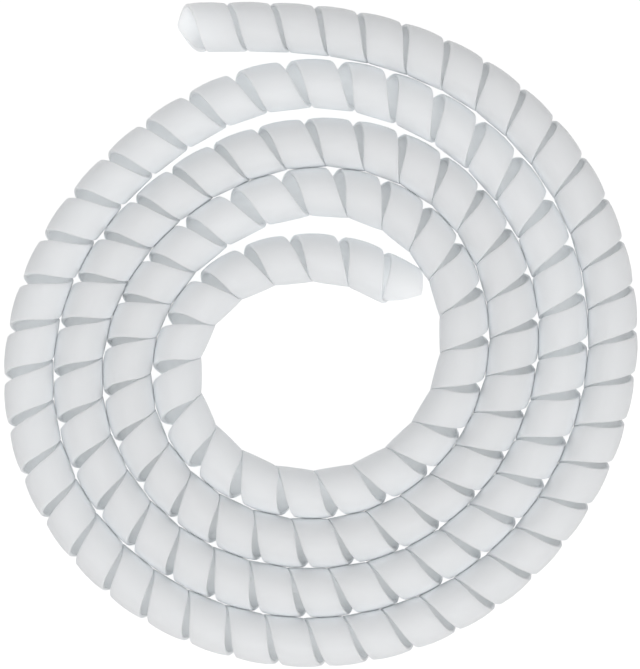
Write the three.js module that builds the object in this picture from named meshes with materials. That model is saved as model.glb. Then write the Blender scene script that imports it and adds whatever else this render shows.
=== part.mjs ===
import * as THREE from 'three';

// Spiral cable wrap: one polyethylene tube, slit helically along its whole length and wound
// into a flat coil that lies on the floor. Millimetres, +Z up, origin at the middle of the
// coil's footprint.

// The tube, and the helical slit that turns it into a band. The diameter is across the flats of
// the section, and the slit closes on the inside of a bend until this little is left of it.
const LENGTH = 2062.5;
const OUTER_DIAMETER = 17.4;
const WALL = 1.4;
const BAND_WIDTH = 13;
const SLIT_WIDTH = 2.58;
const SLIT_CLOSED = 0.35;

// Where handling has stretched the slit wider. Each stretch is a distance from the outer end, and
// dies away over a spread to each side.
const STRETCHES = [
  { along: 710, spread: 200, extra: 1.98 },
  { along: 1185, spread: 125, extra: 0.7 },
  { along: 1680, spread: 30, extra: 2.85 },
  { along: 1922, spread: 110, extra: 0.93 },
];

// Both ends are snipped off slantwise across the band, each over an angle round the tube.
const OUTER_SNIP_ANGLE = 100;
const INNER_SNIP_ANGLE = 70;
const SNIPPED_TIP = 0.6;

// The coil: wound up from its inner end, which lies in this direction from the coil's middle.
// It opens outward anticlockwise, each turn beside the last.
const INNER_RADIUS = 39.35;
const INNER_END_DIRECTION = 34;
const TURN_GAP = 0.7;

// The coil isn't quite round: it is a little oval and a little three-cornered.
const OVAL_RISE = 2.4;
const OVAL_GAIN_PER_TURN = 0.1;
const OVAL_PHASE = 17;
const CORNER_RISE = 0.8;
const CORNER_PHASE = -107;

// Both ends spring away from the coil, and straighten over a small part of a turn. The turn below
// the outer end bulges out to follow, and the inner end is tucked in before it springs out.
const OUTER_END_SPRING = { rise: 15.9, turns: 0.053 };
const INNER_END_SPRING = { rise: 4.2, turns: 0.02 };
const SECOND_TURN_BULGE = { turnsFromOuterEnd: 1.047, spread: 0.09, rise: 3.7 };
const INNER_END_TUCK = { turnsFromInnerEnd: 0.112, spread: 0.123, rise: -7 };

// The round section is a polygon with flats at its top, bottom and sides.
const SECTION_SIDES = 8;
const CURVE_SAMPLES = 6000;
const LENGTH_TOLERANCE = 0.001;

const outerRadius = OUTER_DIAMETER / 2;
const innerRadius = outerRadius - WALL;
const cornerFactor = 1 / Math.cos(Math.PI / SECTION_SIDES);
const turnSpacing = OUTER_DIAMETER + TURN_GAP;
const radians = THREE.MathUtils.degToRad;

function hump(distance, spread, height) {
  return height * Math.exp(-((distance / spread) ** 2));
}

// The tube's axis, from its outer end to its inner end, for a coil of so many turns.
class CoilAxis extends THREE.Curve {
  constructor(turns) {
    super();
    this.turns = turns;
    this.arcLengthDivisions = CURVE_SAMPLES;
  }

  getPoint(t, target = new THREE.Vector3()) {
    const fromOuterEnd = t * this.turns;
    const fromInnerEnd = this.turns - fromOuterEnd;
    const direction = radians(INNER_END_DIRECTION) + fromInnerEnd * 2 * Math.PI;
    const oval = OVAL_RISE + OVAL_GAIN_PER_TURN * fromInnerEnd;
    const bulge = SECOND_TURN_BULGE;
    const tuck = INNER_END_TUCK;
    let radius = INNER_RADIUS + turnSpacing * fromInnerEnd;
    radius += oval * Math.sin(2 * direction + radians(OVAL_PHASE));
    radius += CORNER_RISE * Math.sin(3 * direction + radians(CORNER_PHASE));
    radius += OUTER_END_SPRING.rise * Math.exp(-fromOuterEnd / OUTER_END_SPRING.turns);
    radius += INNER_END_SPRING.rise * Math.exp(-fromInnerEnd / INNER_END_SPRING.turns);
    radius += hump(fromOuterEnd - bulge.turnsFromOuterEnd, bulge.spread, bulge.rise);
    radius += hump(fromInnerEnd - tuck.turnsFromInnerEnd, tuck.spread, tuck.rise);
    return target.set(radius * Math.cos(direction), radius * Math.sin(direction), outerRadius);
  }
}

// The coil has as many turns as take up the tube's length.
function woundAxis() {
  let turns = 1;
  let wound = new CoilAxis(turns);
  while (Math.abs(wound.getLength() - LENGTH) > LENGTH_TOLERANCE) {
    const aroundOnce = 2 * Math.PI * (INNER_RADIUS + turnSpacing * turns);
    turns += (LENGTH - wound.getLength()) / aroundOnce;
    wound = new CoilAxis(turns);
  }
  return wound;
}

const axis = woundAxis();
const axisLength = axis.getLength();

function pitchAt(along) {
  let pitch = BAND_WIDTH + SLIT_WIDTH;
  for (const stretch of STRETCHES) {
    pitch += hump(along - stretch.along, stretch.spread, stretch.extra);
  }
  return pitch;
}

// The share of the axis that lies before a place along it. Past the ends, it stays at the end.
function share(along) {
  return THREE.MathUtils.clamp(along / axisLength, 0, 1);
}

// How strongly the axis bends, as one over its radius.
function bendAt(along) {
  const before = axis.getTangentAt(share(along - outerRadius));
  const after = axis.getTangentAt(share(along + outerRadius));
  return before.angleTo(after) / OUTER_DIAMETER;
}

// A point of the tube, so far along its axis or straight past its ends, at an angle round its
// section that starts at the outside of the coil and goes over the top.
function tubePoint(along, angle, radius) {
  const point = axis.getPointAt(share(along));
  const tangent = axis.getTangentAt(share(along));
  const outward = new THREE.Vector3(-tangent.y, tangent.x, 0);
  point.addScaledVector(tangent, along - share(along) * axisLength);
  point.addScaledVector(outward, radius * Math.cos(angle));
  point.z += radius * Math.sin(angle);
  return point;
}

// Where the helix is at each corner of the section, winding after winding, until the tube ends.
function helixSteps() {
  const steps = [];
  let along = pitchAt(0) / SECTION_SIDES / 2;
  while (along < axisLength) {
    const winding = (steps.length + 0.5) / SECTION_SIDES;
    steps.push({ along, winding, angle: -Math.PI + winding * 2 * Math.PI });
    along += pitchAt(along) / SECTION_SIDES;
  }
  return steps;
}

// The band's two edges at each step. They keep their distance where the tube is straight, on the
// inside of a bend the slit closes and they nearly meet, and at the ends they run together.
function bandStations() {
  const steps = helixSteps();
  const windings = steps.length / SECTION_SIDES;
  const outerSnip = OUTER_SNIP_ANGLE / 360;
  const innerSnip = INNER_SNIP_ANGLE / 360;
  return steps.map(({ along, winding, angle }) => {
    const room = 1 + bendAt(along) * outerRadius * Math.cos(angle);
    const width = Math.min(BAND_WIDTH, pitchAt(along) * room - SLIT_CLOSED) / room;
    const opened = Math.min(width, SNIPPED_TIP + (width * winding) / outerSnip);
    const closed = Math.min(width, SNIPPED_TIP + (width * (windings - winding)) / innerSnip);
    return { angle, low: along + width / 2 - opened, high: along - width / 2 + closed };
  });
}

function spiralWrapGeometry() {
  const corners = [];
  const faces = [];
  const stations = bandStations();
  for (const { angle, low, high } of stations) {
    corners.push(
      tubePoint(low, angle, outerRadius * cornerFactor),
      tubePoint(high, angle, outerRadius * cornerFactor),
      tubePoint(high, angle, innerRadius * cornerFactor),
      tubePoint(low, angle, innerRadius * cornerFactor),
    );
  }
  for (let index = 0; index + 1 < stations.length; index += 1) {
    const here = index * 4;
    for (let side = 0; side < 4; side += 1) {
      const next = (side + 1) % 4;
      faces.push(here + side, here + 4 + side, here + next);
      faces.push(here + next, here + 4 + side, here + 4 + next);
    }
  }
  const last = (stations.length - 1) * 4;
  faces.push(0, 1, 2, 0, 2, 3);
  faces.push(last, last + 2, last + 1, last, last + 3, last + 2);
  const geometry = new THREE.BufferGeometry().setFromPoints(corners);
  geometry.setIndex(faces);
  geometry.computeBoundingBox();
  const { min, max } = geometry.boundingBox;
  geometry.translate(-(min.x + max.x) / 2, -(min.y + max.y) / 2, -min.z);
  geometry.computeVertexNormals();
  return geometry;
}

const polyethylene = new THREE.MeshStandardMaterial({
  color: 0xe4e8ea,
  roughness: 0.45,
  metalness: 0,
});

const spiralWrap = new THREE.Mesh(spiralWrapGeometry(), polyethylene);
spiralWrap.name = 'spiral_wrap';

const cableWrap = new THREE.Group();
cableWrap.add(spiralWrap);

export default cableWrap;
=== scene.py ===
import math

import bpy
import numpy as np
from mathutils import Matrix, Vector


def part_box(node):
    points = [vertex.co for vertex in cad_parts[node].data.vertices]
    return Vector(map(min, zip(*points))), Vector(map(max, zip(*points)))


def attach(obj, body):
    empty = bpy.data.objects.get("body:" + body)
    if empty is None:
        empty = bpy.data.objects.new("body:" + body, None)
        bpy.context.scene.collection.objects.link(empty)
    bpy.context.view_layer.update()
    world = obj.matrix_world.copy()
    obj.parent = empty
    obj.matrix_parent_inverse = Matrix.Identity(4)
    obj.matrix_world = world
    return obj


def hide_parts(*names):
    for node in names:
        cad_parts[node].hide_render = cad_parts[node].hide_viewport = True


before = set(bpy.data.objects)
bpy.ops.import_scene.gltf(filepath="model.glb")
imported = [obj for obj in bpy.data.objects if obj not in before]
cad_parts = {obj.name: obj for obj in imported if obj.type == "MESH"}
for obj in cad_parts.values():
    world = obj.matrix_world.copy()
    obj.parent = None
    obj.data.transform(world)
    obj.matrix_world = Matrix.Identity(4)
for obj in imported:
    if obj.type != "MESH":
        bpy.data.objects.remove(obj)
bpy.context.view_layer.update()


# The camera looks straight down on the coil, from far enough for the turns to show without
# perspective, and its frame leaves the same narrow margin round the coil as the photograph.
METRES_PER_PIXEL = 0.000364
PHOTO_SIZE = (640, 669)
COIL_MIDDLE_PIXEL = (320.9, 334.5)
CAMERA_HEIGHT = 2.6
CAMERA_REACH = 20
SENSOR_MILLIMETRES = 36

frame_height = PHOTO_SIZE[1] * METRES_PER_PIXEL
wrap_low, wrap_high = (Vector(corner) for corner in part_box("spiral_wrap"))
camera_data = bpy.data.cameras.new("camera")
camera_data.sensor_fit = "VERTICAL"
camera_data.sensor_height = SENSOR_MILLIMETRES
camera_data.sensor_width = SENSOR_MILLIMETRES
camera_data.lens = SENSOR_MILLIMETRES * (CAMERA_HEIGHT - wrap_high.z) / frame_height
camera_data.clip_end = CAMERA_REACH
camera = bpy.data.objects.new("camera", camera_data)
camera.location = (
    (PHOTO_SIZE[0] / 2 - COIL_MIDDLE_PIXEL[0]) * METRES_PER_PIXEL,
    (COIL_MIDDLE_PIXEL[1] - PHOTO_SIZE[1] / 2) * METRES_PER_PIXEL,
    CAMERA_HEIGHT,
)
bpy.context.scene.collection.objects.link(camera)
bpy.context.scene.camera = camera


# The wrap is one tube of translucent white polyethylene, extruded and then slit helically, so
# that it is a long springy band. It is wound into a flat coil of just over four turns, which
# are pressed against each other, and its two free ends are snipped off slantwise.
LENGTH = 2.0628
HALF_WIDTH = 0.00914
HALF_HEIGHT = 0.00885
WALL = 0.0014

# The coil is wound up from its inner end, which lies in this direction from its middle. It is a
# little oval and a little three-cornered. A spring is the share of a turn over which it dies away
# and its rise at the end. The bulge and the tuck are each a distance from the outer or the inner
# end, in turns, a spread to each side and a rise.
INNER_RADIUS = 0.03935
INNER_END_DIRECTION = 33.3
TURN_SPACING = 0.0181
OVAL_RISE = 0.0024
OVAL_GAIN_PER_TURN = 0.0001
OVAL_PHASE = 17
CORNER_RISE = 0.0008
CORNER_PHASE = -107
OUTER_END_SPRING = (0.053, 0.0159)
INNER_END_SPRING = (0.025, 0.0046)
SECOND_TURN_BULGE = (1.038, 0.082, 0.0037)
INNER_END_TUCK = (0.122, 0.1275, -0.0065)
AXIS_SAMPLES = 8000
LENGTH_TOLERANCE = 1e-6

# The band between the slit's edges. Each stretch is a distance from the outer end, a spread to
# each side and what it adds to the pitch, where handling has pulled the slit wider. From one
# winding to the next the slit wanders a little too. Where it gapes, on the outside of the coil's
# bend, the band's edges curl in, and on the inside of the bend the band stays straight across.
BAND_WIDTH = 0.0138
PITCH = 0.01558
SLIT_CLOSED = 0.00035
STRETCHES = (
    (0.710, 0.200, 0.00198),
    (1.185, 0.125, 0.00070),
    (1.680, 0.030, 0.00285),
    (1.922, 0.110, 0.00093),
    (2.052, 0.014, -0.00027),
)
SLIT_WANDER = 0.00018
SLIT_WANDER_RATES = (2.39, 1.13, 0.61)
EDGE_CURL = 0.0004
OUTER_SNIP_ANGLE = 100
INNER_SNIP_ANGLE = 60
SNIPPED_TIP = 0.0006
STEPS_PER_WINDING = 32

# The band's section: points across its two faces, from -1 to 1, and its rounded edges, which
# shrink where the band is narrower than this many times their radius to each side.
OUTER_FACE_POINTS = (-0.6, -0.25, 0.25, 0.6)
INNER_FACE_POINTS = (0.5, -0.5)
OUTER_EDGE_ROUND = 0.00035
INNER_EDGE_ROUND = 0.0002
OUTER_EDGE_SEGMENTS = 3
INNER_EDGE_SEGMENTS = 2
ROOM_FOR_ROUNDS = 1.5


def hump(distance, spread, height):
    return height * np.exp(-((distance / spread) ** 2))


def spring(distance, spread, height):
    return height * np.exp(-distance / spread)


def coil_axis(turns):
    """The tube's axis for a coil of so many turns, from its outer end: its points in plan, and
    the length along it to each."""
    from_outer_end = np.linspace(0, turns, AXIS_SAMPLES + 1)
    from_inner_end = turns - from_outer_end
    direction = math.radians(INNER_END_DIRECTION) + from_inner_end * 2 * math.pi
    oval = OVAL_RISE + OVAL_GAIN_PER_TURN * from_inner_end
    bulge_at, bulge_spread, bulge_rise = SECOND_TURN_BULGE
    tuck_at, tuck_spread, tuck_rise = INNER_END_TUCK
    radius = INNER_RADIUS + TURN_SPACING * from_inner_end
    radius += oval * np.sin(2 * direction + math.radians(OVAL_PHASE))
    radius += CORNER_RISE * np.sin(3 * direction + math.radians(CORNER_PHASE))
    radius += spring(from_outer_end, *OUTER_END_SPRING) + spring(from_inner_end, *INNER_END_SPRING)
    radius += hump(from_outer_end - bulge_at, bulge_spread, bulge_rise)
    radius += hump(from_inner_end - tuck_at, tuck_spread, tuck_rise)
    points = np.stack([radius * np.cos(direction), radius * np.sin(direction)], 1)
    steps = np.linalg.norm(np.diff(points, axis=0), axis=1)
    return points, np.concatenate([[0], np.cumsum(steps)])


# The coil has as many turns as take up the tube's length.
turns = 1.0
axis_points, axis_lengths = coil_axis(turns)
while abs(LENGTH - axis_lengths[-1]) > LENGTH_TOLERANCE:
    turns += (LENGTH - axis_lengths[-1]) / (2 * math.pi * (INNER_RADIUS + TURN_SPACING * turns))
    axis_points, axis_lengths = coil_axis(turns)
axis_slopes = np.gradient(axis_points, axis_lengths, axis=0)
axis_headings = np.unwrap(np.arctan2(axis_slopes[:, 1], axis_slopes[:, 0]))


def on_axis(along):
    """The axis's point, heading and outward side, so far along it or straight past its ends."""
    held = np.clip(along, 0, LENGTH)
    point = np.stack([np.interp(held, axis_lengths, axis_points[:, k]) for k in (0, 1)], -1)
    heading = np.interp(held, axis_lengths, axis_headings)
    ahead = np.stack([np.cos(heading), np.sin(heading)], -1)
    outward = np.stack([-ahead[..., 1], ahead[..., 0]], -1)
    return point + ahead * (along - held)[..., None], heading, outward


def helix():
    """For each step along the band: how many windings in, how far along, and the local pitch."""
    along = [0.0]
    pitches = []
    while along[-1] < LENGTH:
        pitch = PITCH + sum(hump(along[-1] - at, spread, rise) for at, spread, rise in STRETCHES)
        pitches.append(pitch)
        along.append(along[-1] + pitch / STEPS_PER_WINDING)
    winding = np.arange(len(pitches)) / STEPS_PER_WINDING
    return winding, np.array(along[:-1]), np.array(pitches)


def wander(winding):
    """How far along the slit that starts so many windings in has strayed."""
    return SLIT_WANDER * sum(np.sin(rate * winding) for rate in SLIT_WANDER_RATES)


def band_edges():
    """For each step: the angle round the tube, starting at the coil's inner side and going under
    it first, how far along the band's two edges are, and how strongly the axis bends there. The
    slit closes on the inside of a bend, and at the ends the edges run together."""
    winding, along, pitch = helix()
    angle = -math.pi + winding * 2 * math.pi
    before = on_axis(along - HALF_WIDTH)[1]
    after = on_axis(along + HALF_WIDTH)[1]
    bend = np.abs(after - before) / (2 * HALF_WIDTH)
    room = 1 + bend * HALF_WIDTH * np.cos(angle)
    width = np.minimum(BAND_WIDTH, pitch * room - SLIT_CLOSED) / room
    left = winding[-1] - winding
    opened = np.minimum(width, SNIPPED_TIP + width * winding / (OUTER_SNIP_ANGLE / 360))
    closed = np.minimum(width, SNIPPED_TIP + width * left / (INNER_SNIP_ANGLE / 360))
    low = along + width / 2 - opened + wander(winding)
    high = along - width / 2 + closed + wander(winding + 1)
    return angle, low, high, bend


def rounded(first, last, segments, radius, across, side):
    """Points of one rounded edge of the band: the edge's side across the band (-1 or 1) and of
    the wall (1 is the outside), and how far in from that corner each point lies."""
    turn = np.radians(np.linspace(first, last, segments + 1))
    inward = -across
    down = -1 if side else 1
    return [
        (across, side, radius * (inward + math.cos(a)), radius * (down + math.sin(a)))
        for a in turn
    ]


def band_section():
    """The band's section, clockwise from its outer side's first edge."""
    points = rounded(180, 90, OUTER_EDGE_SEGMENTS, OUTER_EDGE_ROUND, -1, 1)
    points += [(across, 1, 0, 0) for across in OUTER_FACE_POINTS]
    points += rounded(90, 0, OUTER_EDGE_SEGMENTS, OUTER_EDGE_ROUND, 1, 1)
    points += rounded(0, -90, INNER_EDGE_SEGMENTS, INNER_EDGE_ROUND, 1, 0)
    points += [(across, 0, 0, 0) for across in INNER_FACE_POINTS]
    points += rounded(-90, -180, INNER_EDGE_SEGMENTS, INNER_EDGE_ROUND, -1, 0)
    return np.array(points)


def band_mesh():
    """The band as one closed mesh, which also keeps for each point its place on the straightened
    tube: outward and up from the tube's axis, and how far along it."""
    angle, low, high, bend = band_edges()
    middle = ((low + high) / 2)[:, None]
    half = ((high - low) / 2)[:, None]
    across, side, shift, lift = band_section().T
    fit = np.minimum(1, half / (ROOM_FOR_ROUNDS * OUTER_EDGE_ROUND))
    along = middle + half * across + shift * fit
    gaping = (1 + np.cos(angle)[:, None]) / 2
    curl = EDGE_CURL * gaping * (across * half / (BAND_WIDTH / 2)) ** 2
    curl += (1 - gaping) * bend[:, None] * (across * half) ** 2 / 2
    depth = WALL * (1 - side) + curl - lift * fit
    out = np.cos(angle)[:, None] * (HALF_WIDTH - depth)
    up = np.sin(angle)[:, None] * (HALF_HEIGHT - depth)
    point, _, outward = on_axis(along)
    plan = point + outward * out[..., None]
    vertices = np.concatenate([plan, HALF_HEIGHT + up[..., None]], 2).reshape(-1, 3)
    cad_middle = np.array((wrap_low + wrap_high)[:2]) / 2
    vertices[:, :2] += cad_middle - (vertices[:, :2].min(0) + vertices[:, :2].max(0)) / 2
    rows, columns = out.shape
    here = np.arange(rows - 1)[:, None] * columns + np.arange(columns)
    there = np.arange(rows - 1)[:, None] * columns + np.roll(np.arange(columns), -1)
    faces = np.stack([here, here + columns, there + columns, there], -1).reshape(-1, 4).tolist()
    faces.append(list(range(columns)))
    faces.append(list(range((rows - 1) * columns, rows * columns))[::-1])
    mesh = bpy.data.meshes.new("wrap_band")
    mesh.from_pydata(vertices.tolist(), [], faces)
    mesh.polygons.foreach_set("use_smooth", [True] * len(mesh.polygons))
    place_on_tube = mesh.attributes.new("place_on_tube", "FLOAT_VECTOR", "POINT")
    place_on_tube.data.foreach_set("vector", np.stack([out, up, along], 2).reshape(-1))
    mesh.update()
    return mesh


class Socket:
    """A shader socket. Sums and products with it add Math nodes, and node() adds any other."""

    def __init__(self, socket):
        self.socket = socket
        self.tree = socket.id_data

    def node(self, kind, settings, inputs, output=0):
        made = self.tree.nodes.new(kind)
        for name, value in settings.items():
            setattr(made, name, value)
        for name, value in inputs.items():
            if isinstance(value, Socket):
                self.tree.links.new(made.inputs[name], value.socket)
            else:
                made.inputs[name].default_value = value
        return Socket(made.outputs[output])

    def maths(self, operation, first, second):
        return self.node("ShaderNodeMath", {"operation": operation}, {0: first, 1: second})

    def __add__(self, other):
        return self.maths("ADD", self, other)

    def __mul__(self, other):
        return self.maths("MULTIPLY", self, other)

    __radd__ = __add__
    __rmul__ = __mul__

    def feed(self, socket):
        self.tree.links.new(socket, self.socket)


# Polyethylene is milky, so light soaks a little way into it. The die leaves faint lines along
# the tube, and its thickness clouds a little.
MILKY_DARK = (0.880, 0.920, 0.947, 1)
MILKY_LIGHT = (0.912, 0.948, 0.972, 1)
CLOUDS_PER_METRE = 55
CLOUD_DETAIL = 3
LINES_PER_METRE = 700
LINE_DETAIL = 2
LINE_STRETCH = 0.02
LINE_HEIGHT = 0.00004
SMOOTHEST = 0.46
CLOUD_ROUGHNESS = 0.12
LINE_ROUGHNESS = 0.08
REFRACTIVE_INDEX = 1.5
SOAK_DEPTH = 0.004

polyethylene = bpy.data.materials.new("polyethylene")
polyethylene.use_nodes = True
plastic = polyethylene.node_tree.nodes["Principled BSDF"]
place = Socket(polyethylene.node_tree.nodes.new("ShaderNodeTexCoord").outputs["Object"])
cloud = place.node(
    "ShaderNodeTexNoise",
    {},
    {"Vector": place, "Scale": CLOUDS_PER_METRE, "Detail": CLOUD_DETAIL},
)
tint = place.node(
    "ShaderNodeMix", {"data_type": "RGBA"}, {"Factor": cloud, 6: MILKY_DARK, 7: MILKY_LIGHT}, 2
)
tint.feed(plastic.inputs["Base Color"])
on_tube = place.node("ShaderNodeAttribute", {"attribute_name": "place_on_tube"}, {}, "Vector")
stretched = place.node(
    "ShaderNodeVectorMath", {"operation": "MULTIPLY"}, {0: on_tube, 1: (1, 1, LINE_STRETCH)}
)
lines = place.node(
    "ShaderNodeTexNoise",
    {},
    {"Vector": stretched, "Scale": LINES_PER_METRE, "Detail": LINE_DETAIL},
)
surface = place.node("ShaderNodeBump", {}, {"Height": lines, "Distance": LINE_HEIGHT, "Strength": 1.0})
surface.feed(plastic.inputs["Normal"])
roughness = SMOOTHEST + CLOUD_ROUGHNESS * cloud + LINE_ROUGHNESS * lines
roughness.feed(plastic.inputs["Roughness"])
plastic.inputs["IOR"].default_value = REFRACTIVE_INDEX
plastic.inputs["Subsurface Weight"].default_value = 1.0
plastic.inputs["Subsurface Radius"].default_value = (1.0, 1.0, 1.0)
plastic.inputs["Subsurface Scale"].default_value = SOAK_DEPTH

wrap = bpy.data.objects.new("wrap_band", band_mesh())
bpy.context.scene.collection.objects.link(wrap)
wrap.data.materials.append(polyethylene)
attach(wrap, "root")
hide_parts("spiral_wrap")


# The floor is a plain white sheet. It glows a little, as a backlit table does, so that it stays
# white close to the coil and in the small gaps between its turns.
FLOOR_REACH = 6
FLOOR_GREY = (0.3, 0.3, 0.3, 1)
FLOOR_ROUGHNESS = 0.9
FLOOR_GLOW = 0.8

floor_mesh = bpy.data.meshes.new("floor")
corners = [(x * FLOOR_REACH, y * FLOOR_REACH, 0) for x, y in ((-1, -1), (1, -1), (1, 1), (-1, 1))]
floor_mesh.from_pydata(corners, [], [(0, 1, 2, 3)])
floor = bpy.data.objects.new("floor", floor_mesh)
white_sheet = bpy.data.materials.new("white_sheet")
white_sheet.use_nodes = True
sheet = white_sheet.node_tree.nodes["Principled BSDF"]
sheet.inputs["Base Color"].default_value = FLOOR_GREY
sheet.inputs["Roughness"].default_value = FLOOR_ROUGHNESS
sheet.inputs["Emission Color"].default_value = (1, 1, 1, 1)
sheet.inputs["Emission Strength"].default_value = FLOOR_GLOW
floor_mesh.materials.append(white_sheet)
floor.visible_glossy = False
bpy.context.scene.collection.objects.link(floor)


# The light is a soft studio's: an even glow that is strongest from above and weak from the
# sides, and one large lamp that stands over the near side.
GLOW_LEVEL = (0.12, 0.12, 0.125, 1)
GLOW_ABOVE = (1.11, 1.11, 1.125, 1)
GLOW_STRENGTH = 0.91
LAMP_PLACE = (0.5, -2.0, 2.6)
LAMP_ACROSS = 1.6
LAMP_WATTS = 27

studio = bpy.data.worlds.new("studio")
studio.use_nodes = True
background = studio.node_tree.nodes["Background"]
direction = Socket(studio.node_tree.nodes.new("ShaderNodeTexCoord").outputs["Generated"])
height = direction.node("ShaderNodeSeparateXYZ", {}, {0: direction}, "Z")
glow = direction.node(
    "ShaderNodeMix", {"data_type": "RGBA"}, {"Factor": height, 6: GLOW_LEVEL, 7: GLOW_ABOVE}, 2
)
glow.feed(background.inputs["Color"])
background.inputs["Strength"].default_value = GLOW_STRENGTH
bpy.context.scene.world = studio
bpy.context.scene.view_settings.view_transform = "Standard"

lamp_data = bpy.data.lights.new("overhead", "AREA")
lamp_data.shape = "DISK"
lamp_data.size = LAMP_ACROSS
lamp_data.energy = LAMP_WATTS
lamp = bpy.data.objects.new("overhead", lamp_data)
lamp.location = LAMP_PLACE
lamp.rotation_euler = (-Vector(LAMP_PLACE)).to_track_quat("-Z", "Y").to_euler()
bpy.context.scene.collection.objects.link(lamp)
